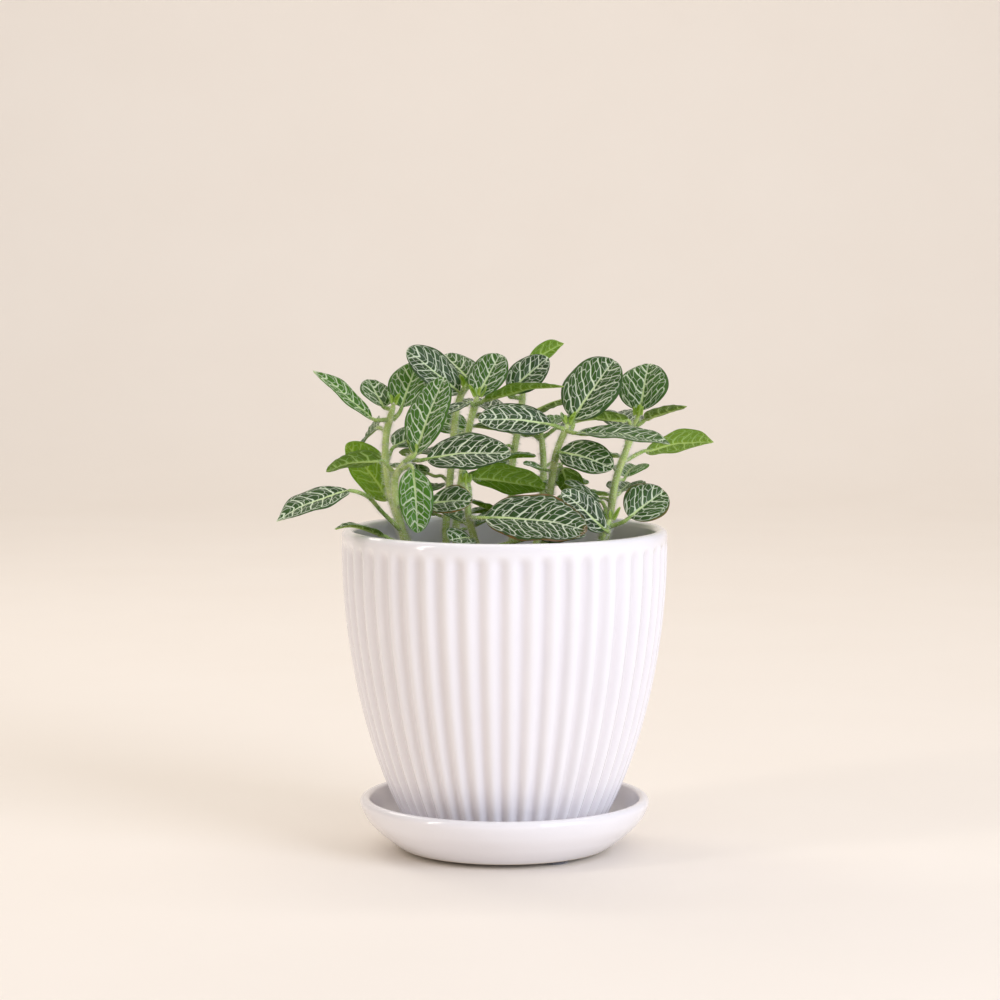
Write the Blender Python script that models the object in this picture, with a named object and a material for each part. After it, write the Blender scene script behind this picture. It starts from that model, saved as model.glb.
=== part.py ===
"""Potted nerve plant: a ribbed white pot on its own saucer, with felt pads under it and a bushy plant in it.

Metres, +Z up. The origin is on the table under the pot's axis, and -Y is the front.
The saucer stands on the pads, the pot on the saucer, and the plant grows out of the soil in the pot.
"""

import math
from collections import namedtuple

import bmesh
import bpy
from mathutils import Vector

MM = 0.001

# Clearance between pieces that touch
GAP = 0.3 * MM

# Pot
POT_RADIUS = 60.0 * MM
POT_HEIGHT = 113.7 * MM
POT_FOOT_RADIUS = 34.0 * MM
POT_WALL = 4.4 * MM
POT_FLOOR = 6.0 * MM
POT_SHOULDER_DROP = 7.5 * MM
POT_BELLY = 1.87
POT_HOLE_RADIUS = 6.0 * MM
RIB_COUNT = 48
RIB_DEPTH = 1.1 * MM
RIB_END_DROP = 3.6 * MM
RIB_FADE = 4.0 * MM
RIB_TURN = 2.45

# Saucer, sized to the pot's foot
SAUCER_FOOT_MARGIN = 4.5 * MM
SAUCER_FOOT_RADIUS = POT_FOOT_RADIUS + SAUCER_FOOT_MARGIN
SAUCER_SPREAD = 15.1 * MM
SAUCER_RADIUS = SAUCER_FOOT_RADIUS + SAUCER_SPREAD
SAUCER_HEIGHT = 18.6 * MM
SAUCER_WALL = 4.0 * MM
SAUCER_FLOOR = 4.2 * MM
SAUCER_FLARE = 1.7

# Felt pads, glued under the saucer's foot
PAD_RADIUS = 5.0 * MM
PAD_THICKNESS = 1.1 * MM
PAD_EDGE_INSET = 2.0 * MM
PAD_CIRCLE_RADIUS = SAUCER_FOOT_RADIUS - PAD_EDGE_INSET - PAD_RADIUS
PAD_ANGLES = (65, 185, 305)

# Soil
SOIL_DROP = 13.0 * MM
SOIL_DOME = 2.5 * MM

# Plant
STEM_FOOT_RADIUS = 1.5 * MM
STEM_TOP_RADIUS = 1.1 * MM
STEM_TIP_SHARE = 0.6
STALK_RADIUS = 0.75 * MM
STALK_MOST_LEAN = 0.8
BLADE_THICKNESS = 0.8 * MM
BLADE_FOLD = 14
BLADE_CROWN = 0.07
BLADE_BALANCE = 0.9
BLADE_FULLNESS = 0.6
RIM_LEAF_TURN = 204.443955
RIM_LEAF_SETBACK = 11.667816 * MM

# How finely round things are cut
ROUND_SEGMENTS = 64
PAD_SEGMENTS = 24
STEM_SIDES = 8

# Levels that follow from the sizes above
SAUCER_BASE = PAD_THICKNESS + GAP
POT_BASE = SAUCER_BASE + SAUCER_FLOOR + GAP
RIM_LEVEL = POT_BASE + POT_HEIGHT
SOIL_LEVEL = RIM_LEVEL - SOIL_DROP


# ---------------------------------------------------------------- meshes

def material(name, colour, roughness):
    made = bpy.data.materials.new(name)
    made.use_nodes = True
    shader = made.node_tree.nodes["Principled BSDF"]
    shader.inputs["Base Color"].default_value = (*colour, 1)
    shader.inputs["Roughness"].default_value = roughness
    shader.inputs["Metallic"].default_value = 0
    made.diffuse_color = (*colour, 1)
    return made


def add_piece(name, form, finish, smooth_angle=40):
    """Turns a finished bmesh into a named object whose faces point out."""
    bmesh.ops.recalc_face_normals(form, faces=form.faces)
    mesh = bpy.data.meshes.new(name)
    form.to_mesh(mesh)
    form.free()
    mesh.materials.append(finish)
    mesh.shade_smooth()
    mesh.set_sharp_from_angle(angle=math.radians(smooth_angle))
    piece = bpy.data.objects.new(name, mesh)
    bpy.context.collection.objects.link(piece)
    return piece


def bridge(form, lower, upper):
    for i in range(len(lower)):
        j = (i + 1) % len(lower)
        form.faces.new((lower[i], lower[j], upper[j], upper[i]))


def fan(form, centre, ring):
    for i in range(len(ring)):
        form.faces.new((centre, ring[i], ring[(i + 1) % len(ring)]))


def turned(outline, segments, relief=None, turn=0.0):
    """Turns (radius, height, relief share) points about Z.

    An outline that starts and ends on the axis gets a point there; any other closes on itself.
    """
    form = bmesh.new()
    rings = []
    for radius, height, share in outline:
        if radius == 0:
            rings.append(form.verts.new((0, 0, height)))
            continue
        ring = []
        for i in range(segments):
            angle = 2 * math.pi * i / segments
            reach = radius - share * relief(angle) if relief else radius
            placed = angle + math.radians(turn)
            ring.append(form.verts.new((reach * math.cos(placed), reach * math.sin(placed), height)))
        rings.append(ring)
    pairs = list(zip(rings, rings[1:]))
    if outline[0][0] > 0:
        pairs.append((rings[-1], rings[0]))
    for lower, upper in pairs:
        if isinstance(lower, list) and isinstance(upper, list):
            bridge(form, lower, upper)
        elif isinstance(upper, list):
            fan(form, lower, upper)
        else:
            fan(form, upper, lower)
    return form


def lofted(rings, tip=None):
    """A closed form through rings of equally many points, ending in a point where a tip is given."""
    form = bmesh.new()
    placed = [[form.verts.new(point) for point in ring] for ring in rings]
    form.faces.new(placed[0])
    for lower, upper in zip(placed, placed[1:]):
        bridge(form, lower, upper)
    if tip is None:
        form.faces.new(placed[-1])
    else:
        fan(form, form.verts.new(tip), placed[-1])
    return form


# ---------------------------------------------------------------- pads, saucer, pot and soil

def saucer_outer(height):
    """Radius of the saucer's outside at a height above its base: a dish that steepens to its rim."""
    rise = height / (SAUCER_HEIGHT - SAUCER_WALL / 2)
    spread = 1 - (1 - rise) ** SAUCER_FLARE
    return SAUCER_FOOT_RADIUS + (SAUCER_RADIUS - SAUCER_FOOT_RADIUS) * spread


def saucer_outline():
    """The saucer's section from the axis under the foot, round the lip, to the axis over the floor."""
    lip = SAUCER_WALL / 2
    lip_level = SAUCER_HEIGHT - lip
    outer = [(saucer_outer(lip_level * share), lip_level * share) for share in (0, 0.18, 0.4, 0.7)]
    lip_centre = SAUCER_RADIUS - lip
    lip_round = [
        (lip_centre + lip * math.cos(math.radians(a)), lip_level + lip * math.sin(math.radians(a)))
        for a in (0, 45, 90, 135, 180)
    ]
    inner_levels = [SAUCER_FLOOR + (lip_level - SAUCER_FLOOR) * share for share in (0.55, 0.2)]
    inner = [(saucer_outer(level) - SAUCER_WALL, level) for level in inner_levels]
    floor = [(saucer_outer(SAUCER_FLOOR) - SAUCER_WALL - 2 * MM, SAUCER_FLOOR)]
    points = [(0, 0)] + outer + lip_round + inner + floor + [(0, SAUCER_FLOOR)]
    return [(radius, SAUCER_BASE + level, 0) for radius, level in points]


def pot_outer(height):
    """Radius over the ribs at a height above the pot's base: straight at the rim, round below."""
    drop = POT_HEIGHT - POT_SHOULDER_DROP - height
    if drop <= 0:
        return POT_RADIUS
    whole_drop = POT_HEIGHT - POT_SHOULDER_DROP
    narrowing = 1 - (POT_FOOT_RADIUS / POT_RADIUS) ** 2
    return POT_RADIUS * math.sqrt(1 - narrowing * (drop / whole_drop) ** POT_BELLY)


def pot_inner(height):
    return pot_outer(height) - POT_WALL


# Heights, as shares of the pot's straight-to-foot depth, where its walls are cut into rings
WALL_SHARES = (0.04, 0.1, 0.18, 0.28, 0.4, 0.55, 0.72, 0.88)


def pot_outline():
    """The pot's section: out from the drain hole, up the ribs, round the lip and down inside."""
    rib_end = POT_HEIGHT - RIB_END_DROP
    rib_full = rib_end - RIB_FADE
    outer = [(pot_outer(share * rib_full), share * rib_full, 1) for share in WALL_SHARES]
    lip = POT_WALL / 2
    lip_level = POT_HEIGHT - lip
    lip_round = [
        (
            POT_RADIUS - lip + lip * math.cos(math.radians(a)),
            lip_level + lip * math.sin(math.radians(a)),
            0,
        )
        for a in (0, 50, 90, 130, 180)
    ]
    inner = [(pot_inner(level), level, 0) for level in inner_levels()]
    points = [
        (POT_HOLE_RADIUS, 0, 0),
        (POT_FOOT_RADIUS - 1.2 * MM, 0, 0),
        *outer,
        (pot_outer(rib_full), rib_full, 1),
        (pot_outer(rib_end), rib_end, 0),
        *lip_round,
        *inner,
        (POT_HOLE_RADIUS, POT_FLOOR, 0),
    ]
    return [(radius, POT_BASE + level, share) for radius, level, share in points]


def inner_levels():
    """Heights above the pot's base, top to bottom, where its inside wall is cut into rings."""
    top = POT_HEIGHT - SOIL_DROP
    shares = (1.0, 0.78, 0.55, 0.35, 0.18, 0.07, 0.0)
    return [POT_FLOOR + (top - POT_FLOOR) * share for share in shares]


def rib_relief(angle):
    """Depth cut below the ribs' crests, deepest in the grooves between them."""
    return RIB_DEPTH * (1 - math.cos(RIB_COUNT * angle)) / 2


def soil_radius():
    return pot_inner(POT_HEIGHT - SOIL_DROP) - GAP


def soil_height(x, y):
    """Height of the soil's gently domed surface."""
    share = min(1.0, math.hypot(x, y) / soil_radius())
    return SOIL_LEVEL + SOIL_DOME * (1 - share ** 2)


def soil_outline():
    walls = [(pot_inner(level) - GAP, POT_BASE + level) for level in reversed(inner_levels())]
    walls[0] = (walls[0][0], POT_BASE + POT_FLOOR + GAP)
    dome = [(soil_radius() * share, soil_height(soil_radius() * share, 0)) for share in (0.8, 0.5, 0.25)]
    points = [(0, POT_BASE + POT_FLOOR + GAP)] + walls + dome + [(0, soil_height(0, 0))]
    return [(radius, level, 0) for radius, level in points]


def make_pads(finish):
    for number, angle in enumerate(PAD_ANGLES, start=1):
        outline = [(0, 0, 0), (PAD_RADIUS, 0, 0), (PAD_RADIUS, PAD_THICKNESS, 0), (0, PAD_THICKNESS, 0)]
        pad = turned(outline, PAD_SEGMENTS)
        turn = math.radians(angle)
        centre = Vector((math.cos(turn), math.sin(turn), 0)) * PAD_CIRCLE_RADIUS
        bmesh.ops.translate(pad, verts=pad.verts, vec=centre)
        add_piece(f"felt_pad_{number}", pad, finish)


# ---------------------------------------------------------------- stems

# Each stem's course: points across the pot and height above the soil's edge, in mm, from foot to tip
STEMS = {
    "stem_left_front": [(-32, -8, 0), (-37, -10, 11), (-40, -12, 30), (-37, -15, 37), (-32, -19, 42)],
    "stem_left": [(-33, 5, 0), (-38, 6, 12), (-43, 8, 28), (-44, 8, 45), (-41, 8, 58)],
    "stem_middle": [(-17, 2, 0), (-18, 4, 12), (-16, 5, 30), (-13, 5, 50), (-10, 4, 61)],
    "stem_middle_back": [(-21, 16, 0), (-22, 19, 10), (-20, 20, 34), (-18, 19, 55), (-15, 19, 64)],
    "stem_back": [(3, 22, 0), (3, 26, 10), (3, 28, 34), (6, 27, 52), (7, 25, 64)],
    "stem_right_front": [(14, -7, 0), (15, -10, 12), (17, -12, 30), (19, -12, 42), (23, -13, 52)],
    "stem_right": [(34, 1, 0), (38, 2, 12), (41, 3, 30), (45, 2, 42), (49, 1, 54)],
    "stem_right_low": [(32, -15, 0), (34, -18, 7), (36, -21, 14), (38, -22, 18)],
    "stem_front": [(-6, -22, 0), (-10, -25, 9), (-13, -24, 20), (-14, -22, 31)],
    "stem_far_back": [(12, 36, 0), (14, 40, 14), (15, 42, 32), (14, 43, 46)],
}


def smooth_point(points, share):
    """A point on the smooth curve through the given points, from 0 at the first to 1 at the last."""
    place = share * (len(points) - 1)
    index = min(int(place), len(points) - 2)
    t = place - index
    p1, p2 = points[index], points[index + 1]
    p0 = points[index - 1] if index else p1 * 2 - p2
    p3 = points[index + 2] if index + 2 < len(points) else p2 * 2 - p1
    return 0.5 * (2 * p1 + (p2 - p0) * t + (2 * p0 - 5 * p1 + 4 * p2 - p3) * t ** 2
                  + (3 * p1 - p0 - 3 * p2 + p3) * t ** 3)


def stem_way(course, share):
    """The stem's direction at a share of its length."""
    step = 0.01
    ahead = smooth_point(course, min(1, share + step))
    behind = smooth_point(course, max(0, share - step))
    return (ahead - behind).normalized()


def stem_course(name):
    """The stem's points in metres. Its foot stands on the soil."""
    course = [Vector((x * MM, y * MM, SOIL_LEVEL + height * MM)) for x, y, height in STEMS[name]]
    foot = course[0]
    foot.z = soil_height(foot.x, foot.y) + GAP
    return course


def stem_radius(share):
    return STEM_FOOT_RADIUS + (STEM_TOP_RADIUS - STEM_FOOT_RADIUS) * share


def square_to(way, side):
    """The part of a side vector that is square to the way, at unit length."""
    return (side - way * side.dot(way)).normalized()


def make_stem(name, finish):
    course = stem_course(name)
    samples = 2 * len(course) + 1
    rings = []
    for i in range(samples):
        share = i / (samples - 1)
        here = smooth_point(course, share)
        way = Vector((0, 0, 1)) if i == 0 else stem_way(course, share)
        side = square_to(way, Vector((1, 0, 0)))
        front = way.cross(side)
        radius = stem_radius(share)
        if i == samples - 1:
            radius *= STEM_TIP_SHARE
        ring = []
        for k in range(STEM_SIDES):
            angle = 2 * math.pi * k / STEM_SIDES
            ring.append(here + radius * (math.cos(angle) * side + math.sin(angle) * front))
        rings.append(ring)
    add_piece(name, lofted(rings), finish)


# ---------------------------------------------------------------- leaves

def pointing(heading, rise):
    heading, rise = math.radians(heading), math.radians(rise)
    level = math.cos(rise)
    return Vector((level * math.cos(heading), level * math.sin(heading), math.sin(rise)))


def inside_rim(turn, setback, height):
    """A leaf's base, in mm, at a setback inside the rim and a height above the soil's edge."""
    way = pointing(turn, 0) * (POT_RADIUS - setback) / MM
    return way.x, way.y, height


# A leaf: its name, the height on its stem where its stalk leaves, where its blade starts (mm, its height
# above the soil's edge), the blade's compass heading and rise (degrees), length and width (mm), its roll
# about its midrib and its droop from base to tip (degrees)
Leaf = namedtuple("Leaf", "name node base heading rise length width roll droop")

LEAVES = {
    "stem_left_front": [
        Leaf("leaf_left_front_upright", 40, (-32, -21, 42), 48, 61, 31, 16, -20, 10),
        Leaf("leaf_left_front_right", 41, (-28, -22, 40), -12, 4, 31, 17, -48, 20),
        Leaf("leaf_left_front_hanging", 37, (-33, -27, 37), -80, -62, 25, 13, 0, 30),
        Leaf("leaf_left_front_side", 34, (-45, -14, 39), 208, -8, 22, 13, -35, 30),
        Leaf("leaf_left_front_far", 15, (-56, -28, 29), 219, -16, 33, 13, 25, 20),
        Leaf("leaf_left_front_rim", 9, inside_rim(RIM_LEAF_TURN, RIM_LEAF_SETBACK, 12), 209, 10, 20, 9, 0, 50),
        Leaf("leaf_left_front_low", 22, (-27, -22, 24), -25, 4, 17, 13, -50, 15),
    ],
    "stem_left": [
        Leaf("leaf_left_outer", 52, (-49, 4, 53), 200, 39, 29, 11, 40, 10),
        Leaf("leaf_left_upright", 56, (-45, 10, 57), 125, 45, 14, 14, 0, 10),
        Leaf("leaf_left_inner", 54, (-38, 9, 57), 60, 55, 20, 16, -15, 10),
        Leaf("leaf_left_shade", 18, (-43, 13, 22), 160, 50, 27, 17, -80, 15),
        Leaf("leaf_left_back", 48, (-47, 16, 49), 108, -18, 22, 13, 55, 25),
        Leaf("leaf_left_inner_low", 38, (-41, 14, 42), 40, 15, 17, 14, -20, 20),
    ],
    "stem_middle": [
        Leaf("leaf_middle_upright", 57, (-10, 6, 61), 48, 50, 20, 15, -25, 10),
        Leaf("leaf_middle_left", 58, (-13, 0, 59), 228, -15, 14, 9, 0, 15),
        Leaf("leaf_middle_right", 59, (-7, 0, 60), -38, 10, 37, 12, 12, 20),
    ],
    "stem_middle_back": [
        Leaf("leaf_middle_back_left", 62, (-17, 15, 62), 200, 38, 26, 17, 60, 10),
        Leaf("leaf_middle_back_up", 63, (-13, 22, 66), 130, 32, 18, 14, 20, 10),
        Leaf("leaf_middle_back_low", 36, (-25, 25, 38), 118, -5, 26, 17, 0, 25),
    ],
    "stem_back": [
        Leaf("leaf_back_up", 60, (2, 18, 62), 20, 40, 20, 14, -50, 10),
        Leaf("leaf_back_top", 64, (9, 28, 73), 35, 22, 18, 9, 70, 10),
        Leaf("leaf_back_side", 52, (11, 26, 54), -30, 20, 17, 9, 160, 10),
        Leaf("leaf_back_left", 50, (1, 33, 52), 135, 12, 26, 17, 0, 20),
    ],
    "stem_right_front": [
        Leaf("leaf_right_front_left", 50, (17, -16, 52), 198, 5, 28, 13, 60, 15),
        Leaf("leaf_right_front_upright", 52, (25, -13, 54), 27, 51, 27, 22, -40, 10),
        Leaf("leaf_right_front_right", 50, (26, -17, 49), -22, -5, 36, 16, -15, 20),
        Leaf("leaf_right_front_low", 40, (20, -15, 42), -28, -14, 22, 15, -45, 20),
        Leaf("leaf_right_front_hanging", 34, (21, -7, 36), 60, -60, 13, 13, 0, 20),
    ],
    "stem_right": [
        Leaf("leaf_right_upright", 52, (50, 4, 56), 70, 58, 20, 20, 0, 10),
        Leaf("leaf_right_outer", 52, (52, 0, 53), -45, 16, 21, 11, 10, 15),
        Leaf("leaf_right_inner", 48, (45, -3, 53), 200, 3, 16, 11, -20, 15),
        Leaf("leaf_right_far", 37, (53, 20, 40), 39, 3, 35, 13, 50, 20),
        Leaf("leaf_right_back", 44, (45, 10, 48), 95, 12, 27, 17, 0, 25),
        Leaf("leaf_right_low", 24, (43, 12, 25), 75, 4, 22, 15, 0, 20),
    ],
    "stem_right_low": [
        Leaf("leaf_right_low_left", 16, (36, -30, 15), 197, 41, 22, 13, 65, 10),
        Leaf("leaf_right_low_right", 17, (45, -24, 19), 33, 30, 18, 17, -45, 10),
        Leaf("leaf_right_low_up", 16, (35, -13, 24), 203, 26, 16, 13, 20, 10),
    ],
    "stem_front": [
        Leaf("leaf_front_right", 19, (-7, -36, 20), -10, -6, 37, 21, -50, 20),
        Leaf("leaf_front_back", 27, (-12, -19, 33), -3, -8, 27, 17, 45, 15),
        Leaf("leaf_front_low", 7, (12, -34, 13), -5, 3, 17, 12, -30, 15),
        Leaf("leaf_front_left", 8, (-12, -30, 12), 235, 3, 13, 12, 30, 15),
    ],
    "stem_far_back": [
        Leaf("leaf_far_back_left", 44, (9, 45, 47), 152, 8, 25, 16, -10, 25),
        Leaf("leaf_far_back_right", 44, (20, 43, 47), 28, 8, 25, 16, 10, 25),
        Leaf("leaf_far_back_low", 28, (5, 45, 28), 168, -4, 22, 15, -20, 25),
    ],
}

# Stations along a stalk and along a blade, as shares of their lengths
STALK_STATIONS = (0.0, 0.33, 0.66, 1.0)
BLADE_STATIONS = (0.06, 0.18, 0.36, 0.58, 0.8, 0.93)
# Where the six edges of a leaf's section lie on a round stalk: left, over left, top, over right, right, under
SECTION_ANGLES = (180, 135, 90, 45, 0, 270)


def blade_half_width(share):
    """Half of the blade's width, 1 at its widest: round at the base and blunt at the tip."""
    return math.sin(math.pi * share ** BLADE_BALANCE) ** BLADE_FULLNESS


def stalk_section(centre, side, over):
    ring = []
    for degrees in SECTION_ANGLES:
        angle = math.radians(degrees)
        ring.append(centre + STALK_RADIUS * (math.cos(angle) * side + math.sin(angle) * over))
    return ring


def blade_section(centre, side, over, half_width):
    """Two wings folded up from the midrib, each a little crowned."""
    fold = math.radians(BLADE_FOLD)
    right = half_width * (math.cos(fold) * side + math.sin(fold) * over)
    left = half_width * (math.sin(fold) * over - math.cos(fold) * side)
    thickness = BLADE_THICKNESS / 2 * over
    crown = BLADE_CROWN * half_width * over + thickness
    return [
        centre + left,
        centre + left / 2 + crown,
        centre + thickness,
        centre + right / 2 + crown,
        centre + right,
        centre - thickness,
    ]


def share_at(course, height):
    """How far along its stem a height above the soil's edge is reached."""
    low, high = 0.0, 1.0
    for _ in range(30):
        middle = (low + high) / 2
        if smooth_point(course, middle).z < SOIL_LEVEL + height * MM:
            low = middle
        else:
            high = middle
    return low


def stalk_start(stem, leaf, base):
    """Where the stalk starts, at its stem's side and clear of it, and the way it leaves."""
    course = stem_course(stem)
    share = share_at(course, leaf.node)
    node = smooth_point(course, share)
    way = stem_way(course, share)
    side = square_to(way, base - node)
    lean = (base - node).normalized().dot(way)
    lean = max(-STALK_MOST_LEAN, min(STALK_MOST_LEAN, lean))
    leaving = side * math.sqrt(1 - lean ** 2) + way * lean
    return node + side * (stem_radius(share) + GAP + STALK_RADIUS * abs(lean)), leaving


def blade_frame(leaf, way):
    """The blade's side and the way its upper face looks, after its roll."""
    heading, roll = math.radians(leaf.heading), math.radians(leaf.roll)
    level = Vector((math.sin(heading), -math.cos(heading), 0))
    over = level.cross(way).normalized()
    return level * math.cos(roll) + over * math.sin(roll), over * math.cos(roll) - level * math.sin(roll)


def stalk_rings(start, leaving, base, arriving, side):
    """Round sections from the stem to the blade, on a curve that leaves and arrives straight."""
    reach = (base - start).length / 3
    before, after = start + leaving * reach, base - arriving * reach
    rings = []
    for t in reversed(STALK_STATIONS):
        s = 1 - t
        here = s ** 3 * start + 3 * t * s ** 2 * before + 3 * t ** 2 * s * after + t ** 3 * base
        way = s ** 2 * (before - start) + 2 * t * s * (after - before) + t ** 2 * (base - after)
        side = square_to(way.normalized(), side)
        rings.insert(0, stalk_section(here, side, side.cross(way.normalized())))
    return rings


def make_leaf(stem, leaf, finish):
    x, y, height = leaf.base
    base = Vector((x * MM, y * MM, SOIL_LEVEL + height * MM))
    start, leaving = stalk_start(stem, leaf, base)

    # The midrib is an arc, and the straight line from its base to its tip has the leaf's heading and rise
    length = leaf.length * MM
    chord = pointing(leaf.heading, leaf.rise)
    upright = pointing(leaf.heading, leaf.rise + 90)
    arch = length * math.tan(math.radians(leaf.droop) / 4) / 2

    arriving = pointing(leaf.heading, leaf.rise + leaf.droop / 2)
    rings = stalk_rings(start, leaving, base, arriving, blade_frame(leaf, arriving)[0])
    for t in BLADE_STATIONS:
        here = base + chord * length * t + upright * arch * 4 * t * (1 - t)
        way = pointing(leaf.heading, leaf.rise + leaf.droop * (0.5 - t))
        side, over = blade_frame(leaf, way)
        rings.append(blade_section(here, side, over, leaf.width * MM / 2 * blade_half_width(t)))
    add_piece(leaf.name, lofted(rings, tip=base + chord * length), finish)


# ---------------------------------------------------------------- the whole

def clear_scene():
    for existing in list(bpy.data.objects):
        bpy.data.objects.remove(existing)


def main():
    clear_scene()
    glaze = material("white_glaze", (0.86, 0.85, 0.86), 0.18)
    felt = material("grey_felt", (0.23, 0.23, 0.25), 0.95)
    peat = material("dark_peat", (0.06, 0.04, 0.028), 0.95)
    stem_green = material("stem_green", (0.33, 0.46, 0.14), 0.55)
    leaf_green = material("leaf_green", (0.06, 0.2, 0.05), 0.4)

    make_pads(felt)
    add_piece("saucer", turned(saucer_outline(), ROUND_SEGMENTS), glaze)
    front = -90 + RIB_TURN
    add_piece("pot", turned(pot_outline(), 2 * RIB_COUNT, rib_relief, front), glaze, smooth_angle=20)
    add_piece("soil", turned(soil_outline(), RIB_COUNT, turn=front), peat)
    for stem, leaves in LEAVES.items():
        make_stem(stem, stem_green)
        for leaf in leaves:
            make_leaf(stem, leaf, leaf_green)


main()
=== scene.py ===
"""A potted nerve plant: white-veined leaves on hairy stems, in a ribbed white glazed pot on its saucer."""

import random
from math import atan2, ceil, cos, exp, hypot, pi, radians, sin, sqrt, tan

import bmesh
import bpy
import numpy as np
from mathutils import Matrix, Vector, noise


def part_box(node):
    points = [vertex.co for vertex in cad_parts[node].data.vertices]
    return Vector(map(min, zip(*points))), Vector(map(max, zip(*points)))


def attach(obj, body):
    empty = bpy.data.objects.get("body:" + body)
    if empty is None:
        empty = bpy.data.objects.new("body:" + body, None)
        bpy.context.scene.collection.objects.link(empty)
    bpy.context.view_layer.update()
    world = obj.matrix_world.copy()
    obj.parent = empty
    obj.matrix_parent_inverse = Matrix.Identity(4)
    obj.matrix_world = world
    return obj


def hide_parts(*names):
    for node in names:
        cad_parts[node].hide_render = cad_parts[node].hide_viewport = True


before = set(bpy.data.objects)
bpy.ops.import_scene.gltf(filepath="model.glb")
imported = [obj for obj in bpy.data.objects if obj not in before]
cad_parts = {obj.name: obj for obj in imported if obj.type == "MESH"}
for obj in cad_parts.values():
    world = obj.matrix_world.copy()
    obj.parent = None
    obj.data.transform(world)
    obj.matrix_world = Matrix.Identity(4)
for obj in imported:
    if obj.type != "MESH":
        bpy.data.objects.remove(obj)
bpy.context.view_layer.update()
MM = 0.001


# ---------------------------------------------------------------- camera
# A camera a little over a metre in front of the pot and just above the plant, looking slightly down.

def added(name, data):
    """An object that shows the data, in the scene."""
    made = bpy.data.objects.new(name, data)
    scene.collection.objects.link(made)
    return made


scene = bpy.context.scene
camera_data = bpy.data.cameras.new("camera")
camera_data.sensor_width = 36
camera_data.lens = 107.4
camera = added("camera", camera_data)
camera.location = (-0.00166, -1.095, 0.2265)
camera.rotation_euler = (radians(90 - 5.04), 0, 0)
scene.camera = camera
scene.view_settings.view_transform = "Standard"


# ---------------------------------------------------------------- saucer
# A shallow dish of white glazed earthenware with a rounded lip, jigger-turned and dipped in glaze.
# Its foot is left bare where it stood in the kiln.

def tint(red, green, blue):
    """A colour mixed in everyday 0 to 255 steps, as the light it sends back."""
    steps = [value / 255 for value in (red, green, blue)]
    return (*[s / 12.92 if s <= 0.04045 else ((s + 0.055) / 1.055) ** 2.4 for s in steps], 1)


def feed(tree, node, inputs):
    """Gives a node's inputs plain values or other nodes' outputs."""
    for socket, value in dict(inputs).items():
        if isinstance(value, bpy.types.NodeSocket):
            tree.links.new(value, node.inputs[socket])
        else:
            node.inputs[socket].default_value = value


def step(tree, kind, inputs=(), **settings):
    """Adds a node, sets it up and feeds it."""
    made = tree.nodes.new(kind)
    for name, value in settings.items():
        setattr(made, name, value)
    feed(tree, made, inputs)
    return made


def sums(tree, operation, *values):
    return step(tree, "ShaderNodeMath", enumerate(values), operation=operation).outputs[0]


def times(tree, first, second):
    return sums(tree, "MULTIPLY", first, second)


def scaled(tree, value, scale, shift):
    return sums(tree, "MULTIPLY_ADD", value, scale, shift)


def parts_of(tree, vector):
    return step(tree, "ShaderNodeSeparateXYZ", {0: vector}).outputs


def fade(tree, value, start, end, low=0.0, high=1.0):
    """A soft step from low to high as the value goes from start to end."""
    inputs = {0: value, 1: start, 2: end, 3: low, 4: high}
    return step(tree, "ShaderNodeMapRange", inputs, interpolation_type="SMOOTHSTEP").outputs[0]


def mixed(tree, share, first, second, blend="MIX"):
    inputs = {0: share, 6: first, 7: second}
    return step(tree, "ShaderNodeMix", inputs, data_type="RGBA", blend_type=blend).outputs[2]


def own_place(tree):
    return step(tree, "ShaderNodeTexCoord").outputs["Object"]


def speckle(tree, scale, detail=3.0, roughness=0.5):
    inputs = {"Vector": own_place(tree), "Scale": scale, "Detail": detail, "Roughness": roughness}
    return step(tree, "ShaderNodeTexNoise", inputs).outputs["Fac"]


def finish_named(name):
    """A new material with its tree, its surface shader and its output."""
    made = bpy.data.materials.new(name)
    made.use_nodes = True
    tree = made.node_tree
    return made, tree, tree.nodes["Principled BSDF"], tree.nodes["Material Output"]


def embossed(tree, shader, strength, depth, height):
    """Puts relief on a finish that is too fine to be modelled."""
    inputs = {"Strength": strength, "Distance": depth, "Height": height}
    feed(tree, shader, {"Normal": step(tree, "ShaderNodeBump", inputs).outputs[0]})


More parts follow.
